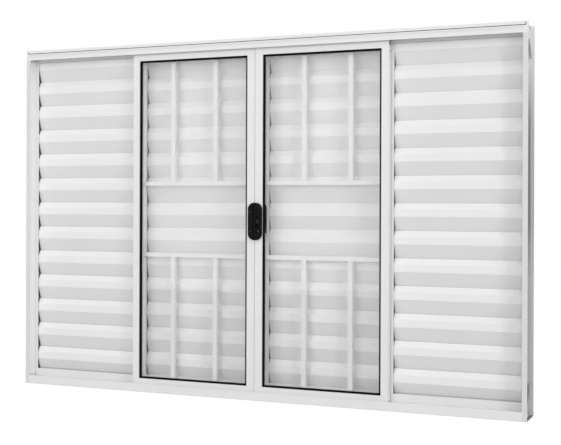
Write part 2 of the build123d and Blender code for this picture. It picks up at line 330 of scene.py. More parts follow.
@dataclass(frozen=True)
class Zone:
    """Box in metres where a surface shows another tone, alike left and right if folded; most boxes hold
    painted shade, one painted light.
    """

    low: Triple
    high: Triple
    colour: Triple
    amount: float = 1.0
    fade: Triple = (0.0001, 0.0001, 0.0001)
    streaks: float = 0.0
    streak_scale: Triple = (260.0, 260.0, 2.4)
    dull: float = 0.0
    folded: bool = True
    outside: bool = False

    def tone(
        self, board: NodeBoard, groups: SharedGroups, colour: Socket, gloss: Socket
    ) -> tuple[Socket, Socket]:
        """Mixes the tone into a finish and dulls its gloss, in the box or outside it.

        Args:
            board: the material's board.
            groups: the shared node groups.
            colour: the finish's colour so far.
            gloss: its roughness so far.

        Returns:
            The new colour and the new roughness.
        """
        mask = board.mask(groups.zone, Low=self.low, High=self.high, Fade=self.fade, Fold=float(self.folded))
        if self.outside:
            mask = board.math("SUBTRACT", 1.0, mask)
        amount = board.product(mask, self.amount)
        if self.streaks:
            drawn = board.noise(board.stretched(self.streak_scale), 1.0, 3.0)
            lines = board.spread(drawn, 1.0 - self.streaks, 1.0 + self.streaks, *NOISE_CORE)
            amount = board.product(amount, lines)
        if self.dull:
            gloss = board.math("ADD", gloss, board.product(amount, self.dull))
        return board.mix(amount, colour, self.colour), gloss


# Near-black of the painted shade in the latch's pocket, split and recesses.
SHADE_BLACK = (0.0003, 0.0003, 0.0003)
# Painted shade: near-black line in the head's groove, also on the tops of the jambs.
HEAD_GROOVE_SHADE = Zone((-1.0, -0.0445, 0.9896), (0.7446, -0.0436, 0.9995), (0.04, 0.04, 0.04), 0.92)
# Painted shadow: soft darkening below the head's groove.
HEAD_GROOVE_SHADOW = Zone(
    (-1.0, -0.0460, 0.9800), (1.0, -0.0440, 0.9900), (0.35, 0.345, 0.34), 0.45, (0.0001, 0.0001, 0.008)
)
# Painted shade: darker front face of the jamb lips.
JAMB_LIP_SHADE = Zone((0.7360, -0.0460, -1.0), (0.7510, -0.0447, 0.9705), (0.45, 0.445, 0.445), 0.24)
LIT_SIDE = Zone(
    (-0.7400, -0.0432, 0.026), (-0.7388, -0.0110, 0.970), (0.965, 0.962, 0.966), 1.0, (0.0001, 0.0001, 0.006),
    folded=False,
)
# Darker, duller, streaky web in each jamb's mortar groove; its darkness is partly painted shade.
MORTAR_GROOVE_SHADE = Zone(
    (0.7404, -0.0434, -1.0), (0.7416, 0.0434, 0.97), (0.24, 0.228, 0.223), 0.62, (0.0001, 0.0001, 0.3),
    streaks=0.5, dull=0.5,
)
# Darker, duller band with streaks on the groove's web at mid height.
MORTAR_MID_BAND = Zone(
    (0.7404, -0.0434, 0.35), (0.7416, 0.0434, 0.90), (0.10, 0.09, 0.086), 0.66, (0.0001, 0.0001, 0.15),
    streaks=0.3, dull=0.4,
)
# Darker, duller rear lip of the mortar groove; its darkness is partly painted shade.
MORTAR_LIP_SHADE = Zone(
    (0.7404, 0.0433, -1.0), (0.7505, 0.0437, 0.97), (0.5, 0.49, 0.485), 0.4, (0.0001, 0.0001, 0.3),
    streaks=0.4, dull=0.3,
)
# Dark floor of the mortar groove, partly dirt and partly painted shade.
MORTAR_FLOOR_SHADE = Zone(
    (0.7411, -0.0434, -0.001), (0.7501, 0.0434, 0.004), (0.09, 0.085, 0.08), 0.8, streaks=0.2, dull=0.4
)
# Painted shadow: dark line where the lowest slats meet the fixed shutters' bottom rails.
SLAT_FOOT_SHADOW = Zone(
    (0.3930, -0.0110, 0.0400), (0.7300, 0.0130, 0.0450), (0.05, 0.05, 0.05), 0.26, (0.0001, 0.0001, 0.0015)
)
PALE_BED = Zone((0.0, -0.0224, 0.0), (0.5, -0.0160, 1.0), (0.78, 0.78, 0.785), 0.96)
SHELL_BED = Zone(
    (0.0200, -0.0230, 0.4595), (0.0310, -0.0155, 0.5400), (0.004, 0.004, 0.0045),
    fade=(0.0001, 0.0001, 0.003), folded=False,
)
# Painted shade: inside the latch's pocket.
LATCH_POCKET_SHADE = Zone((0.0061, -0.0400, 0.4575), (0.0175, -0.0365, 0.5195), SHADE_BLACK, folded=False)
# Painted shade: the split between keeper and shell.
LATCH_SPLIT_SHADE = Zone((-0.0012, -0.0431, 0.44), (0.0011, -0.0429, 0.55), SHADE_BLACK, 0.9, folded=False)
# Painted shadow: the recesses above and below the lever's pad.
LEVER_RECESS_SHADOW_HIGH = Zone(
    (0.0064, -0.0425, 0.5000), (0.0172, -0.0400, 0.5075), SHADE_BLACK, 0.95, (0.0004, 0.0001, 0.0008), folded=False
)
LEVER_RECESS_SHADOW_LOW = Zone(
    (0.0064, -0.0425, 0.4765), (0.0145, -0.0400, 0.4870), SHADE_BLACK, 0.95, (0.0004, 0.0001, 0.0008), folded=False
)


@dataclass(frozen=True)
class Layers:
    """What a finish shows: sockets that change over the surface, and plain numbers."""

    colour: Socket
    gloss: Socket
    height: Socket
    relief: float
    specular: float = 0.5
    metallic: float = 0.0


@dataclass(frozen=True)
class Finish:
    """An opaque finish, with other tones in some places, most of them painted shade."""

    name: str
    zones: tuple[Zone, ...] = field(default=(), kw_only=True)

    def layers(self, board: NodeBoard, groups: SharedGroups) -> Layers:
        """The layers of this kind of finish, without its zones."""
        raise NotImplementedError

    def build(self, groups: SharedGroups) -> Material:
        """Makes the material.

        Args:
            groups: the shared node groups.

        Returns:
            The finished material.
        """
        material, board = new_material(self.name)
        layers = self.layers(board, groups)
        colour, gloss = layers.colour, layers.gloss
        for zone in self.zones:
            colour, gloss = zone.tone(board, groups, colour, gloss)
        relief = {"Strength": layers.relief, "Distance": RELIEF_DEPTH, "Height": layers.height}
        shader = board.add("ShaderNodeBsdfPrincipled", {
            "Base Color": colour,
            "Roughness": gloss,
            "Metallic": layers.metallic,
            "Specular IOR Level": layers.specular,
            "Normal": board.add("ShaderNodeBump", relief).outputs["Normal"],
        })
        board.add("ShaderNodeOutputMaterial", {"Surface": shader.outputs["BSDF"]})
        return material


@dataclass(frozen=True)
class PaintFinish(Finish):
    """White coating on aluminium, with painted highlight along edges, dust on top, and painted shade in
    hollows and on faces that look down.
    """

    colour: Triple = (0.865, 0.862, 0.868)
    gloss: float = 0.34
    mottle: float = 0.012
    peel: float = 0.05
    edge_width: float = 0.9 * MM
    # Painted highlight: edges lightened towards edge_colour.
    edge_highlight: float = 0.55
    edge_colour: Triple = (0.93, 0.93, 0.94)
    dust: float = 0.10
    dust_colour: Triple = (0.62, 0.60, 0.57)
    # Painted shade in hollows, joints and corners, from ambient occlusion.
    painted_shade: float = 0.5
    painted_shade_reach: float = 7.0 * MM
    painted_shade_colour: Triple = (0.20, 0.195, 0.19)
    # Painted shade on faces that look down, none by default.
    underside_shade: float = 0.0
    underside_shade_turn: tuple[float, float] = (-0.25, -0.05)
    underside_shade_colour: Triple = (0.5, 0.497, 0.5)

    def layers(self, board: NodeBoard, groups: SharedGroups) -> Layers:
        """Lays painted edge highlight, dust and painted shade on the coat.

        Args:
            board: the material's board.
            groups: the shared node groups.

        Returns:
            The layers.
        """
        paint = {"Colour": self.colour, "Mottle": self.mottle, "Gloss": self.gloss}
        coat = board.add("ShaderNodeGroup", paint, node_tree=groups.coating).outputs
        # Painted highlight along sharp edges.
        worn = board.product(board.mask(groups.edge, Width=self.edge_width), self.edge_highlight)
        colour = board.mix(worn, coat["Colour"], self.edge_colour)
        colour = board.mix(board.mask(groups.dust, Amount=self.dust), colour, self.dust_colour)
        # Painted shade: darker towards painted_shade_colour where ambient occlusion finds a hollow.
        painted_shade = board.mask(groups.occlusion_shade, Reach=self.painted_shade_reach, Amount=self.painted_shade)
        colour = board.mix(painted_shade, colour, self.painted_shade_colour)
        # Painted shade on faces that look down.
        if self.underside_shade:
            up = board.split(board.geometry("Normal"))[2]
            below = board.spread(up, self.underside_shade, 0.0, *self.underside_shade_turn)
            colour = board.mix(below, colour, self.underside_shade_colour)
        return Layers(colour, coat["Roughness"], coat["Height"], self.peel, specular=0.4)


@dataclass(frozen=True)
class RubberFinish(Finish):
    """Black glazing rubber with a dull bloom and fine grain."""

    colour: Triple = (0.0025, 0.0025, 0.003)
    bloom: Triple = (0.0065, 0.0065, 0.007)
    dust: float = 0.25
    dust_colour: Triple = (0.2, 0.19, 0.18)

    def layers(self, board: NodeBoard, groups: SharedGroups) -> Layers:
        """Lays bloom and dust on the rubber.

        Args:
            board: the material's board.
            groups: the shared node groups.

        Returns:
            The layers.
        """
        place = board.place()
        patch = board.spread(board.noise(place, 26.0, 5.0), 0.0, 0.7, 0.4, 0.75)
        dust = board.mask(groups.dust, Amount=self.dust)
        colour = board.mix(dust, board.mix(patch, self.colour, self.bloom), self.dust_colour)
        grain = board.noise(place, 1400.0, 2.0)
        return Layers(colour, board.spread(patch, 0.5, 0.72), grain, relief=0.2, specular=0.07)


@dataclass(frozen=True)
class PlasticFinish(Finish):
    """Moulded plastic with a fine spark-eroded grain, edges lightened by wear and painted highlight, and
    painted shade in hollows.
    """

    colour: Triple
    worn: Triple
    roughness: float = 0.42
    grain: float = 0.15
    edge_width: float = 0.8 * MM
    # Edges lightened towards the edge tone: partly wear, partly painted highlight.
    edge_strength: float = 0.6
    specular: float = 0.4
    dust: float = 0.1
    dust_colour: Triple = (0.3, 0.29, 0.27)
    # Painted shade in hollows: darkened by ambient occlusion, with duller gloss.
    hollow_shade: float = 0.0
    hollow_shade_reach: float = 6.0 * MM
    hollow_shade_colour: Triple = (0.0004, 0.0004, 0.0004)
    hollow_shade_dull: float = 0.4

    def layers(self, board: NodeBoard, groups: SharedGroups) -> Layers:
        """Lays edge wear and painted highlight, dust and painted shade in hollows on the plastic.

        Args:
            board: the material's board.
            groups: the shared node groups.

        Returns:
            The layers.
        """
        place = board.place()
        worn = board.product(board.mask(groups.edge, Width=self.edge_width), self.edge_strength)
        wear_and_highlight = board.mix(worn, self.colour, self.worn)
        colour = board.mix(board.mask(groups.dust, Amount=self.dust), wear_and_highlight, self.dust_colour)
        gloss = board.spread(board.noise(place, 60.0, 3.0), self.roughness - 0.06, self.roughness + 0.1)
        # Painted shade in hollows.
        if self.hollow_shade:
            dark = board.mask(groups.occlusion_shade, Reach=self.hollow_shade_reach, Amount=self.hollow_shade)
            colour = board.mix(dark, colour, self.hollow_shade_colour)
            gloss = board.math("ADD", gloss, board.product(dark, self.hollow_shade_dull))
        return Layers(colour, gloss, board.noise(place, 1900.0, 1.0), self.grain, self.specular)


@dataclass(frozen=True)
class MetalFinish(Finish):
    """Bare metal with drawn lines along its length, dull patches and bright edges."""

    colour: Triple
    roughness: float
    lines: Triple = (900.0, 900.0, 12.0)
    dull_share: float = 0.72
    edge_width: float = 0.6 * MM
    edge_strength: float = 0.4
    edge_colour: Triple = (0.85, 0.85, 0.86)

    def layers(self, board: NodeBoard, groups: SharedGroups) -> Layers:
        """Lays dull patches and bright edges on the metal.

        Args:
            board: the material's board.
            groups: the shared node groups.

        Returns:
            The layers.
        """
        drawn = board.noise(board.stretched(self.lines), 1.0, 2.0)
        dull = board.spread(board.noise(board.place(), 45.0, 4.0), 0.0, 0.35, 0.45, 0.8)
        worn = board.product(board.mask(groups.edge, Width=self.edge_width), self.edge_strength)
        colour = board.mix(dull, self.colour, tuple(self.dull_share * c for c in self.colour))
        gloss = board.spread(drawn, self.roughness - 0.07, self.roughness + 0.12)
        return Layers(board.mix(worn, colour, self.edge_colour), gloss, drawn, relief=0.12, metallic=1.0)


@dataclass(frozen=True)
class GlassFinish:
    """Clear float glass with a trace of green and wiping marks in the gloss."""

    name: str
    tint: Triple = (0.915, 0.918, 0.918)
    ior: float = 1.5

    def build(self, groups: SharedGroups) -> Material:
        """Makes the material, which lets light through without a dark shadow.

        Args:
            groups: the shared node groups, of which glass needs none.

        Returns:
            The finished material.
        """
        material, board = new_material(self.name)
        haze = board.spread(board.noise(board.place(), 14.0, 3.0), 0.0, 0.018, 0.45, 0.8)
        shader = board.add("ShaderNodeBsdfPrincipled", {
            "Base Color": self.tint, "Roughness": haze, "Transmission Weight": 1.0, "IOR": self.ior,
        })
        clear = board.add("ShaderNodeBsdfTransparent", {"Color": self.tint})
        shadow = board.add("ShaderNodeLightPath").outputs["Is Shadow Ray"]
        board.add("ShaderNodeOutputMaterial", {"Surface": board.between(shadow, shader, clear)})
        return material


@dataclass(frozen=True)
class SlatCoat(PaintFinish):
    """Coil coat of the rolled slats, whose ends stand in the stiles' channels, with a strong painted
    highlight along edges and painted shade in hollows and on faces that look down.
    """

    colour: Triple = (0.90, 0.897, 0.902)
    gloss: float = 0.30
    peel: float = 0.03
    # Strong painted highlight along the slats' crests.
    edge_width: float = 2.0 * MM
    edge_highlight: float = 1.0
    edge_colour: Triple = (0.97, 0.97, 0.975)
    # Painted shade in hollows, reaching further on the slats.
    painted_shade: float = 0.7
    painted_shade_reach: float = 9.0 * MM
    # Painted shade on faces that look down.
    underside_shade: float = 0.18


def painted_end_shade(start: float, end: float) -> Zone:
    """Painted shade on what stands in the channels beside the open span."""
    return Zone((start, -1.0, -1.0), (end, 1.0, 2.0), (0.03, 0.03, 0.03), 0.93, (0.0002,) * 3, outside=True)


LATCH_BLACK = (0.0095, 0.0095, 0.010)
# Edge tone of the latch plastics: partly rubbed wear, partly painted highlight.
RUBBED_AND_HIGHLIT_BLACK = (0.035, 0.035, 0.036)
SLOT_FINISHES = {
    "frame_paint": PaintFinish("frame_powder_coat"),
    "leaf_paint": PaintFinish("leaf_powder_coat"),
    "shutter_paint": PaintFinish("shutter_powder_coat", painted_shade=0.2),
    "grille_paint": PaintFinish("grille_powder_coat", gloss=0.36),
    "gasket": RubberFinish("glazing_rubber", zones=(PALE_BED, SHELL_BED)),
    "glass": GlassFinish("float_glass"),
    "latch": PlasticFinish(
        "latch_black", LATCH_BLACK, RUBBED_AND_HIGHLIT_BLACK, 0.5, specular=0.04, dust=0.02, hollow_shade=1.0,
        zones=(LATCH_POCKET_SHADE, LATCH_SPLIT_SHADE),
    ),
    "nylon": PlasticFinish("roller_nylon", (0.62, 0.62, 0.58), (0.7, 0.7, 0.67), 0.5),
    "anchor": MetalFinish("anchor_aluminium", (0.34, 0.34, 0.345), 0.55),
}
NODE_FINISHES = {
    ("head_track",): PaintFinish("head_powder_coat", zones=(HEAD_GROOVE_SHADE, HEAD_GROOVE_SHADOW)),
    ("left_jamb", "right_jamb"): PaintFinish(
        "jamb_powder_coat", painted_shade=0.25,
        zones=(HEAD_GROOVE_SHADE, JAMB_LIP_SHADE, LIT_SIDE, MORTAR_GROOVE_SHADE, MORTAR_MID_BAND, MORTAR_LIP_SHADE, MORTAR_FLOOR_SHADE),
    ),
    ("latch_lever",): PlasticFinish(
        "lever_black", LATCH_BLACK, RUBBED_AND_HIGHLIT_BLACK, 0.45, specular=0.05, dust=0.04, hollow_shade=1.0,
        zones=(LATCH_POCKET_SHADE, LEVER_RECESS_SHADOW_HIGH, LEVER_RECESS_SHADOW_LOW),
    ),
    ("left_fixed_shutter_slats", "right_fixed_shutter_slats"): SlatCoat(
        "fixed_shutter_slat_coat", zones=(SLAT_FOOT_SHADOW, painted_end_shade(0.3930, 0.7300))
    ),
    ("left_sliding_shutter_slats", "right_sliding_shutter_slats"): SlatCoat(
        "sliding_shutter_slat_coat", zones=(painted_end_shade(0.0225, 0.3680),)
    ),
}
FITTING_FINISHES = {
    "screw": MetalFinish("screw_steel", (0.52, 0.52, 0.53), 0.3),
    "dark_screw": MetalFinish("burnished_screw", (0.014, 0.014, 0.0145), 0.35),
    "lever_screw": MetalFinish("worn_screw", (0.07, 0.07, 0.072), 0.35),
    "pile": PlasticFinish("grey_pile", (0.16, 0.16, 0.165), (0.24, 0.24, 0.24), 0.85, grain=0.5),
    "sealant": PlasticFinish("white_sealant", (0.83, 0.83, 0.825), (0.86, 0.86, 0.86), 0.55),
    "thumb": PlasticFinish("thumb_black", (0.015, 0.015, 0.0155), (0.05, 0.05, 0.052), 0.45, specular=0.08),
}


class Palette:
    """Every material of the window: of a slot, of a single node or of a fitting."""

    def __init__(self) -> None:
        """Builds the shared groups and the materials."""
        groups = SharedGroups()
        self.slot = {slot: finish.build(groups) for slot, finish in SLOT_FINISHES.items()}
        self.fitting = {name: finish.build(groups) for name, finish in FITTING_FINISHES.items()}
        self.node = {}
        for nodes, finish in NODE_FINISHES.items():
            self.node.update(dict.fromkeys(nodes, finish.build(groups)))

    def dress_frame(self, frame: dict) -> None:
        """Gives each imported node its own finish, or else the finish of its slot.
        """
        for part in frame["record"]["subparts"]:
            mesh = frame["nodes"][part["node"]].data
            mesh.materials.clear()
            mesh.materials.append(self.node.get(part["node"]) or self.slot[part["material_slot"]])
            LOG.info("dressed %s in %s", part["node"], part["material_slot"])


def finish_piece(mesh: Shape, name: str, material: Material, smooth: bool = False) -> None:
    """Turns a bmesh into a piece that rides on the window.

    Args:
        mesh: the shape, in place in the row frame.
        name: the piece's name.
        material: its finish.
        smooth: whether its faces are shaded smooth.
    """
    data = bpy.data.meshes.new(name)
    for face in mesh.faces:
        face.smooth = smooth
    mesh.to_mesh(data)
    mesh.free()
    data.materials.append(material)
    piece = bpy.data.objects.new(name, data)
    bpy.context.scene.collection.objects.link(piece)
    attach(piece, ROOT_BODY)
    LOG.info("made %s with %d faces", name, len(data.polygons))


def add_shape(target: Shape, shape: Shape, place: Matrix) -> None:
    """Puts a finished shape into the mesh that collects them.

    Args:
        target: the collecting mesh.
        shape: the shape, which is freed.
        place: where it goes.
    """
    bmesh.ops.transform(shape, matrix=place, verts=shape.verts)
    bmesh.ops.recalc_face_normals(shape, faces=shape.faces)
    part = bpy.data.meshes.new("shape")
    shape.to_mesh(part)
    shape.free()
    target.from_mesh(part)
    bpy.data.meshes.remove(part)


def round_edges(shape: Shape, edges: list[bmesh.types.BMEdge], radius: float, segments: int) -> None:
    """Rounds edges with a bevel of some segments."""
    bmesh.ops.bevel(
        shape, geom=edges, offset=radius, affect="EDGES", segments=segments, profile=0.5, material=-1
    )


def far_face(shape: Shape, way: Axis) -> bmesh.types.BMFace:
    """The face that lies furthest in a direction."""
    return max(shape.faces, key=lambda face: face.calc_center_median().dot(way.value))


def press_face(shape: Shape, face: bmesh.types.BMFace, inset: float, shift: Vector) -> None:
    """Insets a face and shifts what is left of it."""
    bmesh.ops.inset_region(shape, faces=[face], thickness=inset)
    bmesh.ops.translate(shape, verts=face.verts, vec=shift)


def soft_block(size: Triple, edge: float, segments: int = 2) -> Shape:
    """A block about the origin with rounded edges.

    Args:
        size: its three sides.
        edge: the radius of its edges.
        segments: how many faces round an edge.

    Returns:
        The block.
    """
    block = bmesh.new()
    bmesh.ops.create_cube(block, size=1.0, matrix=Matrix.Diagonal((*size, 1.0)))
    round_edges(block, block.edges[:], edge, segments)
    return block


def standing_rod(radius: float, length: float, sides: int, taper: float = 1.0) -> Shape:
    """A round rod that stands on the origin along +Z.

    Args:
        radius: the radius of its foot.
        length: its length.
        sides: how many faces go round it.
        taper: the radius at its top, as a share of that at its foot.

    Returns:
        The rod.
    """
    rod = bmesh.new()
    bmesh.ops.create_cone(
        rod, cap_ends=True, segments=sides, radius1=radius, radius2=radius * taper, depth=length,
        matrix=Matrix.Translation((0.0, 0.0, length / 2)),
    )
    return rod


def mirrored_x(place: Vector) -> Vector:
    """The same place on the other side of the window."""
    return Vector((-place.x, place.y, place.z))


@dataclass
class PanScrews:
    """Pan-head screws with a cross recess."""

    name: str
    radius: float
    height: float
    rounding: float = 0.6
    rim: float = 0.08
    recess: float = 0.45
    hub: float = 0.25
    arm: float = 0.6
    arm_power: float = 1.5
    narrowing: float = 0.75
    sides: int = 16

    def head(self) -> Shape:
        """Makes one head that stands on the origin and looks along +Z.

        Returns:
            The head.
        """
        one = standing_rod(self.radius, self.height, self.sides)
        upper = [e for e in one.edges if all(v.co.z > self.height / 2 for v in e.verts)]
        round_edges(one, upper, self.height * self.rounding, 3)
        cap = far_face(one, Axis.UP)
        bmesh.ops.inset_region(one, faces=[cap], thickness=self.radius * self.rim)
        for vert in cap.verts:
            cross = abs(math.cos(2.0 * math.atan2(vert.co.y, vert.co.x))) ** self.arm_power
            vert.co.xy *= self.hub + self.arm * cross
        sunk = bmesh.ops.extrude_discrete_faces(one, faces=[cap])["faces"][0]
        bmesh.ops.translate(one, verts=sunk.verts, vec=(0.0, 0.0, -self.height * self.recess))
        bmesh.ops.scale(one, verts=sunk.verts, vec=(self.narrowing, self.narrowing, 1.0))
        return one

    def build(self, places: list[tuple[Vector, Axis]], material: Material, slot: str) -> None:
        """Makes one piece of many screw heads.

        Args:
            places: pairs of seat centre and facing direction.
            material: the screws' finish.
            slot: the record's slot; not used.
        """
        mesh = bmesh.new()
        for place, way in places:
            add_shape(mesh, self.head(), Matrix.Translation(place) @ way.turn())
        finish_piece(mesh, self.name, material)


@dataclass
class FrameFittings:
    """Fittings of the frame: screws, key ribs, anchor rivets, end plates, sealant and track buffers."""

    palette: Palette
    groove: float = 9.0 * MM
    web: float = 1.5 * MM
    screw_rise: float = 8.0 * MM
    screw_depths: tuple[float, ...] = (20.0 * MM, 46.0 * MM, 74.0 * MM)
    rib_depths: tuple[float, ...] = (25.0 * MM, 40.0 * MM)
    rib_radius: float = 0.7 * MM
    rib_rounding: float = 0.6
    rib_inset: float = 1.0 * MM
    anchor_sheet: float = 1.2 * MM
    anchor_levels: tuple[float, ...] = (40.0 * MM, 960.0 * MM)
    anchor_depth: float = 60.0 * MM
    rivet_radius: float = 2.6 * MM
    rivet_dome: float = 0.55
    buffer_radius: float = 4.4 * MM
    buffer_taper: float = 0.82
    buffer_length: float = 10.0 * MM
    buffer_round: float = 1.2 * MM
    buffer_rim: float = 0.8 * MM
    buffer_bore: float = 1.0 * MM
    buffer_level: float = 12.6 * MM
    lane_depths: tuple[float, ...] = (21.0 * MM, 74.0 * MM)
    plate_sheet: float = 1.2 * MM
    plate_play: float = 0.1 * MM
    plate_inset: float = 1.6 * MM
    plate_rim: float = 1.4 * MM
    plate_dip: float = 0.3 * MM
    bead: float = 1.4 * MM
    bead_stop: float = 26.0 * MM

    def __post_init__(self) -> None:
        """Finds the right jamb and the two faces of its web."""
        self.low, self.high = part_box("right_jamb")
        self.web_outside = self.high.x - self.groove
        self.web_inside = self.web_outside - self.web

    def build(self) -> None:
        """Makes every fitting of the frame."""
        self.corner_screws()
        self.key_ribs()
        self.anchor_rivets()
        self.end_plates()
        self.sealant()
        self.buffers()

    def corner_screws(self) -> None:
        """Drives the screws that hold head and sill to the jambs."""
        places = []
        for depth in self.screw_depths:
            for level in (self.low.z + self.screw_rise, self.high.z - self.screw_rise):
                seat = Vector((self.web_outside, self.low.y + depth, level))
                places += [(seat, Axis.RIGHT), (mirrored_x(seat), Axis.LEFT)]
        screws = PanScrews("frame_corner_screws", radius=3.6 * MM, height=2.0 * MM)
        screws.build(places, self.palette.fitting["screw"], "anchor")

    def key_ribs(self) -> None:
        """Runs the round ribs that key the jamb into the mortar."""
        mesh = bmesh.new()
        height = self.high.z - self.low.z - 2 * self.rib_inset
        for depth in self.rib_depths:
            for side in SIDES:
                rib = standing_rod(self.rib_radius, height, 12)
                ends = [e for e in rib.edges if abs(e.verts[0].co.z - e.verts[1].co.z) < height / 2]
                round_edges(rib, ends, self.rib_radius * self.rib_rounding, 2)
                foot = (side * self.web_outside, self.low.y + depth, self.low.z + self.rib_inset)
                add_shape(mesh, rib, Matrix.Translation(foot))
        finish_piece(mesh, "jamb_key_ribs", self.palette.slot["frame_paint"], smooth=True)

    def end_plates(self) -> None:
        """Closes the mortar grooves below with thin pressed plates."""
        mesh = bmesh.new()
        width = self.high.x - self.web_outside - 2 * self.plate_play
        depth = self.high.y - self.low.y - 2 * self.plate_inset
        middle = (self.low + self.high) / 2
        middle.x = (self.web_outside + self.high.x) / 2
        middle.z = self.low.z + self.plate_play + self.plate_sheet / 2
        for place in (middle, mirrored_x(middle)):
            plate = soft_block((width, depth, self.plate_sheet), 0.3 * MM, 1)
            press_face(plate, far_face(plate, Axis.UP), self.plate_rim, Axis.UP.value * -self.plate_dip)
            add_shape(mesh, plate, Matrix.Translation(place))
        finish_piece(mesh, "jamb_end_plates", self.palette.node["right_jamb"])

    def sealant(self) -> None:
        """Lays the bead that closes the joint between each fixed shutter and its jamb."""
        low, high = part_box("right_fixed_shutter_jamb_stile")
        length = high.z - low.z - 2 * self.bead_stop
        across = (self.web_inside + high.x) / 2
        mesh = bmesh.new()
        for side in SIDES:
            bead = soft_block((self.bead, self.bead, length), 0.4 * MM)
            middle = (side * across, low.y - 0.1 * MM, (low.z + high.z) / 2)
            add_shape(mesh, bead, Matrix.Translation(middle))
        finish_piece(mesh, "jamb_sealant", self.palette.fitting["sealant"], smooth=True)

    def anchor_rivets(self) -> None:
        """Sets a domed rivet through the foot of each anchor."""
        mesh = bmesh.new()
        for level in self.anchor_levels:
            for way in (Axis.RIGHT, Axis.LEFT):
                dome = bmesh.new()
                bmesh.ops.create_uvsphere(dome, u_segments=16, v_segments=8, radius=self.rivet_radius)
                bmesh.ops.scale(dome, verts=dome.verts, vec=(1.0, 1.0, self.rivet_dome))
                bmesh.ops.bisect_plane(
                    dome, geom=dome.verts[:] + dome.edges[:] + dome.faces[:], plane_co=(0.0, 0.0, 0.0),
                    plane_no=(0.0, 0.0, 1.0), clear_inner=True,
                )
                bmesh.ops.holes_fill(dome, edges=[e for e in dome.edges if e.is_boundary])
                across = way.value.x * (self.web_outside + self.anchor_sheet)
                seat = Vector((across, self.low.y + self.anchor_depth, level))
                add_shape(mesh, dome, Matrix.Translation(seat) @ way.turn())
        finish_piece(mesh, "anchor_rivets", self.palette.fitting["screw"], smooth=True)

    def buffers(self) -> None:
        """Fixes the rubber buffers that stop the leaves at the ends of their tracks."""
        mesh = bmesh.new()
        for depth in self.lane_depths:
            for side, inwards in ((1.0, Axis.LEFT), (-1.0, Axis.RIGHT)):
                plug = standing_rod(self.buffer_radius, self.buffer_length, 24, self.buffer_taper)
                round_edges(plug, far_face(plug, Axis.UP).edges[:], self.buffer_round, 3)
                press_face(plug, far_face(plug, Axis.UP), self.buffer_rim, Axis.UP.value * -self.buffer_bore)
                seat = Vector((side * self.web_inside, self.low.y + depth, self.low.z + self.buffer_level))
                add_shape(mesh, plug, Matrix.Translation(seat) @ inwards.turn())
        finish_piece(mesh, "track_buffers", self.palette.slot["gasket"], smooth=True)


